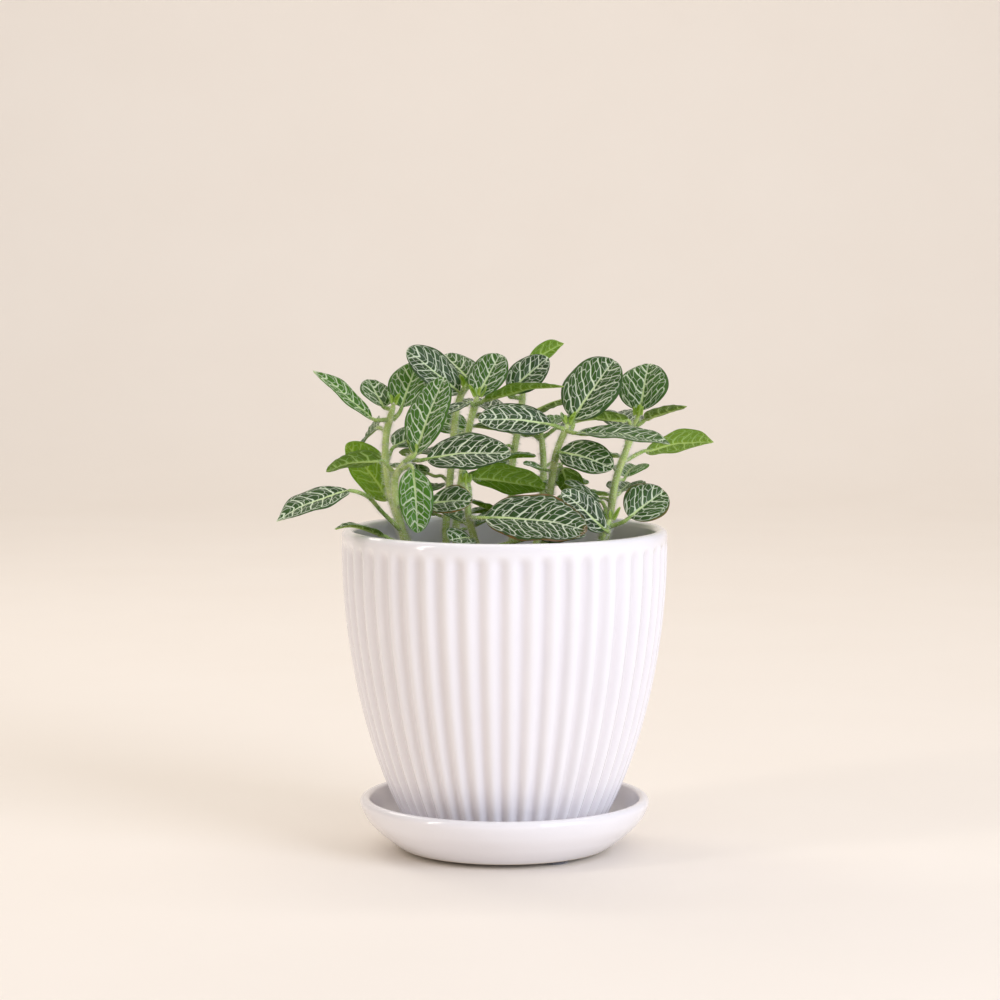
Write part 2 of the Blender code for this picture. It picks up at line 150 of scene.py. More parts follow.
def glaze_named(name, foot_level):
    """White glaze with kiln specks over a bare pale foot, greyer in the rib grooves: thinner glaze and
    painted shade.
    """
    made, tree, shader, _ = finish_named(name)
    place = own_place(tree)
    level = parts_of(tree, place)[2]
    groove_shade = step(tree, "ShaderNodeAttribute", attribute_name="groove_shade").outputs["Fac"]
    body = mixed(tree, speckle(tree, 22.0), tint(234, 232, 236), tint(244, 242, 245))
    # Painted shade: the rib grooves are greyed, partly for thinner glaze and partly for the shade that falls
    # in them.
    body = mixed(tree, times(tree, groove_shade, 0.35), body, tint(206, 196, 200))

    cells = step(tree, "ShaderNodeTexVoronoi", {"Vector": place, "Scale": 95.0})
    draw = step(tree, "ShaderNodeSeparateColor", {0: cells.outputs["Color"]}).outputs[0]
    speck = times(tree, fade(tree, draw, 0.955, 0.965), fade(tree, cells.outputs["Distance"], 0.052, 0.03))
    body = mixed(tree, times(tree, speck, 0.55), body, tint(168, 120, 104))

    bare = fade(tree, level, foot_level + 1.1 * MM, foot_level + 0.5 * MM)
    body = mixed(tree, bare, body, tint(222, 212, 198))
    gloss = fade(tree, speckle(tree, 160.0, 4.0), 0.3, 0.7, 0.1, 0.2)
    rough = sums(tree, "MAXIMUM", gloss, times(tree, bare, 0.75))
    feed(tree, shader, {"Base Color": body, "Roughness": rough, "IOR": 1.52,
                        "Coat Weight": 0.35, "Coat Roughness": 0.06})
    ripple = times(tree, speckle(tree, 70.0, 2.0), 0.8)
    pits = fade(tree, speckle(tree, 900.0, 2.0), 0.25, 0.4, -1.0, 0.0)
    embossed(tree, shader, 0.22, 0.001, sums(tree, "ADD", ripple, times(tree, pits, 0.05)))
    return made


def merged(node):
    """A merged copy of a CAD node's mesh."""
    form = bmesh.new()
    form.from_mesh(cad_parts[node].data)
    bmesh.ops.remove_doubles(form, verts=form.verts, dist=0.00001)
    form.verts.ensure_lookup_table()
    return form


def section_of(node):
    """Points (radius, height) of a turned node's section, from the outer edge of its foot, over its
    lip and down inside, in the plane of its farthest point."""
    form = merged(node)
    farthest = max(form.verts, key=lambda v: v.co.x ** 2 + v.co.y ** 2)
    plane = farthest.co.xy.normalized()
    inside = {v for v in form.verts
              if v.co.xy.length > MM and v.co.xy.normalized().dot(plane) > 0.99999}
    low = min(v.co.z for v in inside)
    here = max((v for v in inside if v.co.z < low + 0.01 * MM), key=lambda v: v.co.xy.length)
    points, seen = [], set()
    while here is not None:
        points.append((here.co.xy.length, here.co.z))
        seen.add(here)
        near = [e.other_vert(here) for e in here.link_edges]
        near = [v for v in near if v in inside and v not in seen]
        here = max(near, key=lambda v: (v.co.z if len(points) == 1 else v.co.xy.length)) if near else None
    form.free()
    return points


def curve_through(points, spacing):
    """Close, even points on the smooth curve through the given ones."""
    points = [np.array(p, float) for p in points]
    ends = [2 * points[0] - points[1], *points, 2 * points[-1] - points[-2]]
    placed = []
    for p0, p1, p2, p3 in zip(ends, ends[1:], ends[2:], ends[3:]):
        gaps = [max(1e-9, float(np.linalg.norm(b - a))) ** 0.5 for a, b in ((p0, p1), (p1, p2), (p2, p3))]
        t0, t1, t2, t3 = 0.0, gaps[0], gaps[0] + gaps[1], sum(gaps)
        count = max(1, ceil(float(np.linalg.norm(p2 - p1)) / spacing))
        for k in range(count):
            t = t1 + (t2 - t1) * k / count
            a1 = p0 + (p1 - p0) * (t - t0) / (t1 - t0)
            a2 = p1 + (p2 - p1) * (t - t1) / (t2 - t1)
            a3 = p2 + (p3 - p2) * (t - t2) / (t3 - t2)
            b1 = a1 + (a2 - a1) * (t - t0) / (t2 - t0)
            b2 = a2 + (a3 - a2) * (t - t1) / (t3 - t1)
            placed.append(b1 + (b2 - b1) * (t - t1) / (t2 - t1))
    placed.append(points[-1])
    return placed


def turned_piece(name, outline, segments, finish, outside=None):
    """Turns (radius, height) points about the pot's axis into a smooth closed piece."""
    form = bmesh.new()
    rings = []
    for radius, height in outline:
        if radius < 1e-6:
            rings.append([form.verts.new((0, 0, height))])
            continue
        turns = [2 * pi * i / segments for i in range(segments)]
        rings.append([form.verts.new((radius * cos(a), radius * sin(a), height)) for a in turns])
    pairs = list(zip(rings, rings[1:]))
    if outline[0][0] > 1e-6:
        pairs.append((rings[-1], rings[0]))
    for lower, upper in pairs:
        for i in range(segments):
            j = (i + 1) % segments
            if len(lower) == 1:
                form.faces.new((lower[0], upper[j], upper[i]))
            elif len(upper) == 1:
                form.faces.new((lower[i], lower[j], upper[0]))
            else:
                form.faces.new((lower[i], lower[j], upper[j], upper[i]))
    bmesh.ops.recalc_face_normals(form, faces=form.faces)
    return piece_from(name, form, finish, outside)


def piece_from(name, form, finish, outside=None):
    """A smooth piece from a form, with 1 in "outside" at each point that ribs can be pressed into."""
    mesh = bpy.data.meshes.new(name)
    form.to_mesh(mesh)
    form.free()
    mesh.materials.append(finish)
    mesh.shade_smooth()
    if outside is not None:
        mesh.attributes.new("outside", "FLOAT", "POINT").data.foreach_set("value", outside)
    return added(name, mesh)


def put_in_place(piece, slot, *nodes):
    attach(piece, "root")
    if nodes:
        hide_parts(*nodes)


saucer_section = section_of("saucer")
foot_radius, saucer_base = saucer_section[0]
well_radius, saucer_floor = saucer_section[-1]
saucer_side = curve_through(saucer_section[:-1], 0.7 * MM)
foot_recess = saucer_base + 0.9 * MM
foot_ring = [(foot_radius - inset * MM, saucer_base + rise * MM)
             for inset, rise in ((5.5, 0.9), (5.0, 0.25), (4.3, 0), (1.2, 0))]
saucer_outline = [(0, foot_recess), (foot_radius * 0.5, foot_recess), *foot_ring,
                  *[tuple(p) for p in saucer_side[1:]], (well_radius + 0.6 * MM, saucer_floor + 0.25 * MM),
                  (well_radius - 1.5 * MM, saucer_floor), (well_radius * 0.5, saucer_floor),
                  (0, saucer_floor)]
saucer = turned_piece("saucer_glazed", saucer_outline, 192, glaze_named("saucer_glaze", saucer_base))
put_in_place(saucer, "white_glaze", "saucer")


# ---------------------------------------------------------------- felt pads
# Three round pads of grey needled felt, die-cut and glued under the saucer's foot.
# Their cut edges have come a little loose in short fibres.

def grown(piece, tree, **sizes):
    """Turns the piece into a plain mesh of what the tree makes from it."""
    modifier = piece.modifiers.new(tree.name, "NODES")
    modifier.node_group = tree
    for item in tree.interface.items_tree:
        if item.in_out == "INPUT" and item.name in sizes:
            modifier[item.identifier] = sizes[item.name]
    graph = bpy.context.evaluated_depsgraph_get()
    made = bpy.data.meshes.new_from_object(piece.evaluated_get(graph), preserve_all_data_layers=True,
                                           depsgraph=graph)
    piece.modifiers.remove(modifier)
    for slot in reversed(range(len(made.materials))):
        if made.materials[slot] is None:
            made.materials.pop(index=slot)
    piece.data = made
    return piece


def new_tree(name, **inputs):
    """A node tree that takes a form and named inputs, with its input and output nodes."""
    tree = bpy.data.node_groups.new(name, "GeometryNodeTree")
    tree.interface.new_socket(name="Form", in_out="INPUT", socket_type="NodeSocketGeometry")
    for title, value in inputs.items():
        kind = "NodeSocketInt" if isinstance(value, int) else "NodeSocketFloat"
        if isinstance(value, bpy.types.Material):
            kind = "NodeSocketMaterial"
        socket = tree.interface.new_socket(name=title, in_out="INPUT", socket_type=kind)
        socket.default_value = value
    tree.interface.new_socket(name="Form", in_out="OUTPUT", socket_type="NodeSocketGeometry")
    return tree, tree.nodes.new("NodeGroupInput").outputs, tree.nodes.new("NodeGroupOutput").inputs


def vector_of(tree, *parts):
    return step(tree, "ShaderNodeCombineXYZ", enumerate(parts)).outputs[0]


def chance(tree, low, high, seed, kind="FLOAT"):
    """A random number between two others at each point, or a vector of such numbers."""
    first = 2 if kind == "FLOAT" else 0
    drawn = step(tree, "FunctionNodeRandomValue", {first: low, first + 1: high, "Seed": seed}, data_type=kind)
    return drawn.outputs[first // 2]


def set_on_form(tree, given, taken, spread, copy, turn, size, finish):
    """Sets coloured copies on the spread points, and gives them back with the form."""
    copies = step(tree, "GeometryNodeInstanceOnPoints",
                  {"Points": spread.outputs["Points"], "Instance": copy.outputs[0], "Rotation": turn,
                   "Scale": size})
    plain = step(tree, "GeometryNodeRealizeInstances", {0: copies.outputs[0]})
    coloured = step(tree, "GeometryNodeSetMaterial", {0: plain.outputs[0], "Material": finish})
    both = step(tree, "GeometryNodeJoinGeometry")
    tree.links.new(coloured.outputs[0], both.inputs[0])
    tree.links.new(given["Form"], both.inputs[0])
    tree.links.new(both.outputs[0], taken[0])


def hair_tree(name, finish):
    """Grows fine pointed hairs that stand out from the form, each at its own slant and length."""
    tree, given, taken = new_tree(name, density=1000.0, length=0.001, width=0.00003, slant=0.5, seed=1)
    spread = step(tree, "GeometryNodeDistributePointsOnFaces",
                  {"Mesh": given["Form"], "Density": given["density"], "Seed": given["seed"]})
    hair = step(tree, "GeometryNodeMeshCone",
                {"Vertices": 3, "Radius Top": 0.0, "Radius Bottom": given["width"], "Depth": given["length"]},
                fill_type="NGON")
    least = times(tree, given["slant"], -1.0)
    low = vector_of(tree, least, least, 0.0)
    high = vector_of(tree, given["slant"], given["slant"], 6.28)
    lean = chance(tree, low, high, given["seed"], "FLOAT_VECTOR")
    turn = step(tree, "FunctionNodeEulerToRotation", {0: lean}).outputs[0]
    stand = step(tree, "FunctionNodeRotateRotation", {0: spread.outputs["Rotation"], 1: turn},
                 rotation_space="LOCAL").outputs[0]
    size = chance(tree, 0.45, 1.15, sums(tree, "ADD", given["seed"], 7.0))
    set_on_form(tree, given, taken, spread, hair, stand, size, finish)
    return tree


def felt_named(name, dark, light):
    made, tree, shader, _ = finish_named(name)
    tufts = speckle(tree, 1400.0, 5.0, 0.7)
    patches = speckle(tree, 260.0)
    colour = mixed(tree, fade(tree, tufts, 0.3, 0.7), dark, light)
    colour = mixed(tree, fade(tree, patches, 0.35, 0.7, 0.0, 0.5), colour, tint(104, 104, 112))
    feed(tree, shader, {"Base Color": colour, "Roughness": 0.95, "Sheen Weight": 0.5, "Sheen Roughness": 0.6})
    embossed(tree, shader, 0.9, 0.0004, tufts)
    return made


felt_finish = felt_named("grey_needled_felt", tint(66, 66, 74), tint(126, 126, 134))
fibre_finish = felt_named("grey_felt_fibres", tint(142, 142, 150), tint(206, 206, 212))
felt_hairs = hair_tree("felt_fibres", fibre_finish)
round_edge = 0.25 * MM
for node in ("felt_pad_1", "felt_pad_2", "felt_pad_3"):
    lowest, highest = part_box(node)
    centre = (lowest + highest) / 2
    radius = (highest.x - lowest.x) / 2
    thickness = highest.z - lowest.z
    edge = [(radius - round_edge, 0), (radius - 0.07 * MM, 0.07 * MM), (radius, round_edge),
            (radius + 0.05 * MM, thickness / 2), (radius, thickness - round_edge),
            (radius - round_edge, thickness)]
    outline = [(0, 0), (radius * 0.4, 0), (radius * 0.75, 0), *edge, (radius * 0.75, thickness),
               (radius * 0.4, thickness), (0, thickness)]
    pad = turned_piece(node + "_felt", outline, 56, felt_finish)
    for vertex in pad.data.vertices:
        wave = noise.noise(vertex.co * 900 + Vector((7, 3, 1)) * len(node)) * 0.12 * MM
        if vertex.co.xy.length > radius * 0.9:
            vertex.co += vertex.co.normalized() * wave
        vertex.co += Vector((centre.x, centre.y, lowest.z))
    grown(pad, felt_hairs, density=2.4e6, length=1.6 * MM, width=0.04 * MM, slant=1.1,
          seed=int(centre.x * 1e4) % 97)
    for vertex in pad.data.vertices:
        vertex.co.z = max(vertex.co.z, lowest.z)
    put_in_place(pad, "grey_felt", node)


# ---------------------------------------------------------------- pot
# A deep round pot of the same white earthenware, cast in a mould that leaves rounded ribs from just
# under its smooth rim down to its foot. It has one drain hole, and glaze inside and out.

def rib_tree(finish):
    """Presses rounded grooves into a turned wall, between crests that keep its radius."""
    tree, given, taken = new_tree("pressed_ribs", ribs=48, depth=0.0011, turn=0.0, top=0.1, fade=0.004)
    parts = parts_of(tree, step(tree, "GeometryNodeInputPosition").outputs[0])
    outer = step(tree, "GeometryNodeInputNamedAttribute", {"Name": "outside"}, data_type="FLOAT").outputs[0]
    angle = sums(tree, "SUBTRACT", sums(tree, "ARCTAN2", parts[1], parts[0]), given["turn"])
    wave = sums(tree, "COSINE", times(tree, angle, given["ribs"]))
    groove = sums(tree, "POWER", scaled(tree, wave, -0.5, 0.5), 1.15)
    below = fade(tree, parts[2], given["top"], sums(tree, "SUBTRACT", given["top"], given["fade"]))
    share = times(tree, times(tree, groove, below), outer)
    flat = vector_of(tree, parts[0], parts[1], 0.0)
    out = step(tree, "ShaderNodeVectorMath", {0: flat}, operation="NORMALIZE").outputs[0]
    reach = times(tree, times(tree, share, given["depth"]), -1.0)
    shift = step(tree, "ShaderNodeVectorMath", {0: out, "Scale": reach}, operation="SCALE").outputs[0]
    pressed = step(tree, "GeometryNodeSetPosition", {"Geometry": given["Form"], "Offset": shift}).outputs[0]
    # Keeps each point's groove share, which the glaze uses for its painted shade in the grooves.
    kept = step(tree, "GeometryNodeStoreNamedAttribute",
                {"Geometry": pressed, "Name": "groove_shade", "Value": share}, data_type="FLOAT",
                domain="POINT").outputs[0]
    plain = step(tree, "GeometryNodeRealizeInstances", {0: kept}).outputs[0]
    done = step(tree, "GeometryNodeSetMaterial", {0: plain, "Material": finish}).outputs[0]
    tree.links.new(done, taken[0])
    return tree


rib_count = 48
rib_depth = 1.3 * MM
rib_start = 3.6 * MM
rib_fade = 4.0 * MM
rim_band = 3 * MM
pot_section = section_of("pot")
pot_base = pot_section[0][1]
rim_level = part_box("pot")[1].z
rim_index = max(range(len(pot_section)), key=lambda i: pot_section[i][1])
rim_radius = max(r for r, _ in pot_section)
wall_outside = [p for p in pot_section[:rim_index] if p[1] < rim_level - rim_band]
wall_inside = [p for p in pot_section[rim_index:] if p[1] < rim_level - rim_band]
lip_half = (rim_radius - max(r for r, _ in wall_inside)) / 2
lip_middle = rim_radius - lip_half
outside = curve_through(wall_outside + [(rim_radius, rim_level - lip_half)], 1.3 * MM)
lip = [(lip_middle + lip_half * cos(a), rim_level - lip_half + lip_half * sin(a))
       for a in [radians(15 * k) for k in range(1, 12)]]
inside = curve_through([(lip_middle - lip_half, rim_level - lip_half)] + wall_inside, 2.5 * MM)
floor_level = wall_inside[-1][1]
foot_edge = outside[0][0]
hole_radius = 6.0 * MM
hole_edge = 0.8 * MM
pot_outline = [(hole_radius + hole_edge, pot_base + 0.6 * MM), (foot_edge * 0.55, pot_base + 0.6 * MM),
               (foot_edge - 4.2 * MM, pot_base + 0.5 * MM), (foot_edge - 3.4 * MM, pot_base),
               (foot_edge - 0.8 * MM, pot_base), *[tuple(p) for p in outside[1:]], *lip,
               *[tuple(p) for p in inside], (inside[-1][0] * 0.5, floor_level),
               (hole_radius + hole_edge, floor_level), (hole_radius, floor_level - hole_edge),
               (hole_radius, pot_base + 1.4 * MM)]
last_of_foot = 4
last_of_wall = 5 + len(outside) - 2
ribbed = [float(last_of_foot < i <= last_of_wall) for i in range(len(pot_outline))]
segments = rib_count * 10
pot = turned_piece("pot_ribbed", pot_outline, segments, glaze_named("pot_glaze", pot_base),
                   [value for value in ribbed for _ in range(segments)])
# A crest of the frame's ribs, halfway up the wall, says how the ribs are turned.
wall_middle = 0.06
pot_points = [vertex.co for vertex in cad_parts["pot"].data.vertices]
crest = max(pot_points, key=lambda point: point.xy.length - 3 * abs(point.z - wall_middle))
crest_turn = atan2(crest.y, crest.x)
grown(pot, rib_tree(pot.data.materials[0]), ribs=rib_count, depth=rib_depth, turn=crest_turn,
      top=rim_level - rib_start, fade=rib_fade)
pot.data.attributes.remove(pot.data.attributes["outside"])
pot.data.shade_smooth()
put_in_place(pot, "white_glaze", "pot")


# ---------------------------------------------------------------- soil
# Dark peat potting mix with grit, crumbs of perlite and a few dead bits of leaf lying on it.
# It fills the pot to a little below the rim, and the stems stand in it.

def crumb_tree(finish):
    """Scatters rough crumbs over the part of the form that faces up."""
    tree, given, taken = new_tree("scattered_crumbs", density=1000.0, least=0.0003, most=0.001, flat=0.7,
                                  seed=1)
    facing = parts_of(tree, step(tree, "GeometryNodeInputNormal").outputs[0])[2]
    upper = step(tree, "FunctionNodeCompare", {0: facing, 1: 0.6}, data_type="FLOAT").outputs[0]
    spread = step(tree, "GeometryNodeDistributePointsOnFaces",
                  {"Mesh": given["Form"], "Selection": upper, "Density": given["density"],
                   "Seed": given["seed"]})
    lump = step(tree, "GeometryNodeMeshIcoSphere", {"Radius": 1.0, "Subdivisions": 1})
    grid = step(tree, "ShaderNodeTexNoise", {"Scale": 1.3, "Detail": 1.0}).outputs["Color"]
    shake = step(tree, "ShaderNodeVectorMath", {0: grid, 1: (0.5, 0.5, 0.5)}, operation="SUBTRACT")
    shake = step(tree, "ShaderNodeVectorMath", {0: shake.outputs[0], "Scale": 1.6}, operation="SCALE")
    rough = step(tree, "GeometryNodeSetPosition",
                 {"Geometry": lump.outputs["Mesh"], "Offset": shake.outputs[0]})
    flatter = vector_of(tree, 1.0, 0.8, given["flat"])
    squeezed = step(tree, "GeometryNodeTransform", {"Geometry": rough.outputs[0], "Scale": flatter})
    turn = chance(tree, (-0.5, -0.5, 0.0), (0.5, 0.5, 6.28), given["seed"], "FLOAT_VECTOR")
    size = sums(tree, "POWER", chance(tree, 0.0, 1.0, sums(tree, "ADD", given["seed"], 5.0)), 2.2)
    size = step(tree, "ShaderNodeMapRange", {0: size, 3: given["least"], 4: given["most"]}).outputs[0]
    set_on_form(tree, given, taken, spread, squeezed, turn, size, finish)
    return tree


def earthy(name, dark, light, scale):
    made, tree, shader, _ = finish_named(name)
    grains = speckle(tree, scale, 6.0, 0.65)
    colour = mixed(tree, fade(tree, grains, 0.3, 0.72), dark, light)
    feed(tree, shader, {"Base Color": colour, "Roughness": 0.95})
    embossed(tree, shader, 0.9, 0.0006, grains)
    return made


soil_form = merged("soil")
soil_top = max(v.co.z for v in soil_form.verts)
soil_edge_radius = max(v.co.xy.length for v in soil_form.verts)
soil_edge = min(v.co.z for v in soil_form.verts if v.co.xy.length > soil_edge_radius - 0.01 * MM)
soil_low = min(v.co.z for v in soil_form.verts)
soil_wall = curve_through([p for p in section_of("soil") if p[1] <= soil_edge + 1e-6], 6 * MM)
soil_form.free()


def soil_height(x, y):
    """Height of the lumpy soil, from the dome that it was pressed to."""
    share = min(1.0, hypot(x, y) / soil_edge_radius)
    lumps = 1.1 * noise.noise(Vector((x, y, 0.3)) * 60) + 0.6 * noise.noise(Vector((x, y, 0.7)) * 170)
    return soil_edge + (soil_top - soil_edge) * (1 - share ** 2) + lumps * MM * (1 - share ** 6)


soil_rings = 44
soil_outline = [(0, soil_low), (soil_wall[0][0] * 0.6, soil_low), *[tuple(p) for p in soil_wall[:-1]],
                *[(soil_edge_radius * (soil_rings - i) / soil_rings, soil_edge + 0.001 * MM * i)
                  for i in range(soil_rings)],
                (0, soil_edge + 0.1 * MM)]
peat = earthy("peat", tint(26, 19, 14), tint(74, 54, 38), 420.0)
soil = turned_piece("soil_peat", soil_outline, 132, peat)
for vertex in soil.data.vertices:
    if vertex.co.z >= soil_edge - 1e-7:
        vertex.co.z = soil_height(vertex.co.x, vertex.co.y)
for title, dark, light, density, least, most, flat, seed in (
        ("peat_crumbs", tint(30, 21, 15), tint(88, 64, 44), 4.2e5, 0.25 * MM, 1.5 * MM, 0.8, 3),
        ("bark_bits", tint(96, 62, 36), tint(170, 116, 66), 1.6e4, 0.5 * MM, 2.1 * MM, 0.35, 8),
        ("perlite", tint(216, 212, 202), tint(244, 242, 236), 1.0e4, 0.4 * MM, 1.25 * MM, 0.9, 21)):
    tree = crumb_tree(earthy(title, dark, light, 900.0))
    grown(soil, tree, density=density, least=least, most=most, flat=flat, seed=seed)
soil.data.shade_smooth()
put_in_place(soil, "peat_soil", "soil")


# ---------------------------------------------------------------- stems
# Soft green creeping stems, square-shouldered at each pair of leaves, that stand up from the soil.
# They are densely set with short white hairs.

def plant_green(name, dark, light, glow, roughness=0.5):
    made, tree, shader, _ = finish_named(name)
    colour = mixed(tree, fade(tree, speckle(tree, 260.0, 4.0), 0.3, 0.7), dark, light)
    feed(tree, shader, {"Base Color": colour, "Roughness": roughness, "Subsurface Weight": glow,
                        "Subsurface Radius": (0.5, 1.0, 0.25), "Subsurface Scale": 0.001})
    embossed(tree, shader, 0.25, 0.0002, speckle(tree, 1500.0, 3.0))
    return made


def layers_from(form, start):
    """The form's vertices in rings, each one edge farther from the start."""
    seen, layer, layers = set(start), list(start), []
    while layer:
        layers.append(layer)
        near = {e.other_vert(v) for v in layer for e in v.link_edges} - seen
        seen |= near
        layer = list(near)
    return layers


def middle_of(points):
    return sum((Vector(p) for p in points), Vector()) / len(points)


def stem_line(node):
    """The stem's middle line from its foot to its tip, and its radius at each point."""
    form = merged(node)
    low = min(v.co.z for v in form.verts)
    foot = [v for v in form.verts if v.co.z < low + 0.01 * MM]
    rings = layers_from(form, foot)
    line = [middle_of([v.co for v in ring]) for ring in rings]
    radii = [(ring[0].co - middle).length for ring, middle in zip(rings, line)]
    form.free()
    return line, radii


def tube(form, line, radii, sides, group, kept=None):
    """A round tube on a line, closed to a point at each end. It keeps a steady side as it turns."""
    side = Vector((1, 0, 0.01))
    rings = []
    for i, (here, radius) in enumerate(zip(line, radii)):
        way = (line[min(i + 1, len(line) - 1)] - line[max(i - 1, 0)]).normalized()
        side = (side - way * side.dot(way)).normalized()
        front = way.cross(side)
        rings.append([form.verts.new(here + radius * (cos(a) * side + sin(a) * front))
                      for a in [2 * pi * k / sides for k in range(sides)]])
    for lower, upper in zip(rings, rings[1:]):
        for k in range(sides):
            j = (k + 1) % sides
            form.faces.new((lower[k], lower[j], upper[j], upper[k])).material_index = group
    for ring, tip in ((rings[0], line[0] - (line[1] - line[0]).normalized() * radii[0] * 0.4),
                      (rings[-1], line[-1] + (line[-1] - line[-2]).normalized() * radii[-1] * 0.7)):
        point = form.verts.new(tip)
        for k in range(sides):
            form.faces.new((ring[k], ring[(k + 1) % sides], point)).material_index = group


def evened(line, radii, count):
    """The line and its radii again at evenly spaced points."""
    dense = curve_through([(*p, r) for p, r in zip(line, radii)], 0.4 * MM)
    lengths = np.cumsum([0.0] + [float(np.linalg.norm(b[:3] - a[:3])) for a, b in zip(dense, dense[1:])])
    dense = np.array(dense)
    wanted = np.linspace(0, lengths[-1], count)
    places = np.stack([np.interp(wanted, lengths, dense[:, k]) for k in range(4)], 1)
    return [Vector(p[:3]) for p in places], [float(p[3]) for p in places]


stem_names = sorted(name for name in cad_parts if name.startswith("stem_"))
leaf_names = sorted(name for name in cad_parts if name.startswith("leaf_"))
stem_finish = plant_green("stem_green", tint(170, 194, 108), tint(200, 214, 142), 0.25)
hair_finish = plant_green("white_plant_hair", tint(236, 240, 220), tint(252, 252, 244), 0.0, 0.4)
plant_hairs = hair_tree("plant_hairs", hair_finish)
stem_lines = {name: stem_line(name) for name in stem_names}


def blade_root(node):
    """A leaf's rings from its stalk's foot to its tip, each as the six points of its section."""
    form = merged(node)
    rings = None
    for vertex in form.verts:
        layers = layers_from(form, [vertex])
        if [len(layer) for layer in layers] == [1] + [6] * 10:
            rings = layers[::-1]
            break
    made = [[v.co.copy() for v in ring] for ring in rings[:4]]
    for ring in rings[4:-1]:
        inside = set(ring)
        order = [ring[0]]
        while len(order) < 6:
            near = [e.other_vert(order[-1]) for e in order[-1].link_edges]
            order.append(next(v for v in near if v in inside and v not in order))
        made.append([v.co.copy() for v in order])
    made.append([rings[-1][0].co.copy()])
    form.free()
    return made


joint_length = 1.7 * MM
joint_swell = 0.3
knots = [middle_of(blade_root(leaf)[0]) for leaf in leaf_names]
for name in stem_names:
    line, radii = stem_lines[name]
    foot = line[0]
    buried = Vector((foot.x, foot.y, foot.z - 3.5 * MM))
    line, radii = evened([buried, *line], [radii[0] * 1.15, *radii], 70)
    for i, here in enumerate(line):
        near = [(here - knot).length for knot in knots if (here - knot).length < 5 * MM]
        swell = sum(exp(-(away / joint_length) ** 2) for away in near)
        radii[i] *= 1 + joint_swell * min(1.3, swell) + 0.05 * noise.noise(here * 300)
    form = bmesh.new()
    tube(form, line, radii, 14, 0)
    bmesh.ops.recalc_face_normals(form, faces=form.faces)
    stem = piece_from(name + "_hairy", form, stem_finish)
    grown(stem, plant_hairs, density=3.2e6, length=1.6 * MM, width=0.08 * MM, slant=0.5, seed=len(name) * 3)
    stem.data.shade_smooth()
    put_in_place(stem, "hairy_stem", name)


# ---------------------------------------------------------------- leaves
# Oval leaves in pairs on short stalks, each blade folded a little at its midrib and puffed up between
# its veins. The upper side is dark green with a net of white veins, and the underside is pale olive.

# Millimetres from one side vein to the next, and the shares of a leaf's length where the frame has a section.
VEIN_SPACING = 4.5
STATIONS = (0.06, 0.18, 0.36, 0.58, 0.8, 0.93)


def kept_parts(tree, name):
    """The three numbers that a blade's points keep under this name."""
    return parts_of(tree, step(tree, "ShaderNodeAttribute", attribute_name=name).outputs["Vector"])


def vein_net(tree):
    """How white the net of veins is, and the blade's own values, where each vein has its real width."""
    run, across, reach = kept_parts(tree, "veins")
    blade = kept_parts(tree, "blade")
    off = sums(tree, "ABSOLUTE", across)
    half = sums(tree, "DIVIDE", off, sums(tree, "MAXIMUM", reach, 0.05))
    apart = sums(tree, "PINGPONG", run, 0.5)

    midrib = sums(tree, "SUBTRACT", off, scaled(tree, blade[0], -0.4, 0.5))
    midrib = fade(tree, midrib, 0.12, -0.05)

    tapered = scaled(tree, reach, 0.11, -0.25)
    side_vein = scaled(tree, apart, VEIN_SPACING * 0.72, tapered)
    side_vein = fade(tree, side_vein, 0.1, -0.05)

    close = sums(tree, "POWER", scaled(tree, apart, -2.0, 1.0), 3.0)
    past_loop = sums(tree, "SUBTRACT", reach, scaled(tree, close, -0.10, 0.88))
    loop = fade(tree, times(tree, sums(tree, "ABSOLUTE", past_loop), half), 0.2, 0.07)
    within = fade(tree, past_loop, 0.05, 0.0)

    place = vector_of(tree, times(tree, run, 2.0), times(tree, across, 0.46), 0.0)
    cells = step(tree, "ShaderNodeTexVoronoi", {"Vector": place, "Scale": 1.0, "Randomness": 0.7},
                 feature="DISTANCE_TO_EDGE", voronoi_dimensions="2D").outputs["Distance"]
    links = fade(tree, cells, 0.078, 0.025)

    net = times(tree, sums(tree, "MAXIMUM", side_vein, times(tree, links, 0.76)), within)
    net = sums(tree, "MAXIMUM", net, times(tree, loop, 0.7))
    net = sums(tree, "MAXIMUM", net, midrib)
    return net, midrib, reach, blade


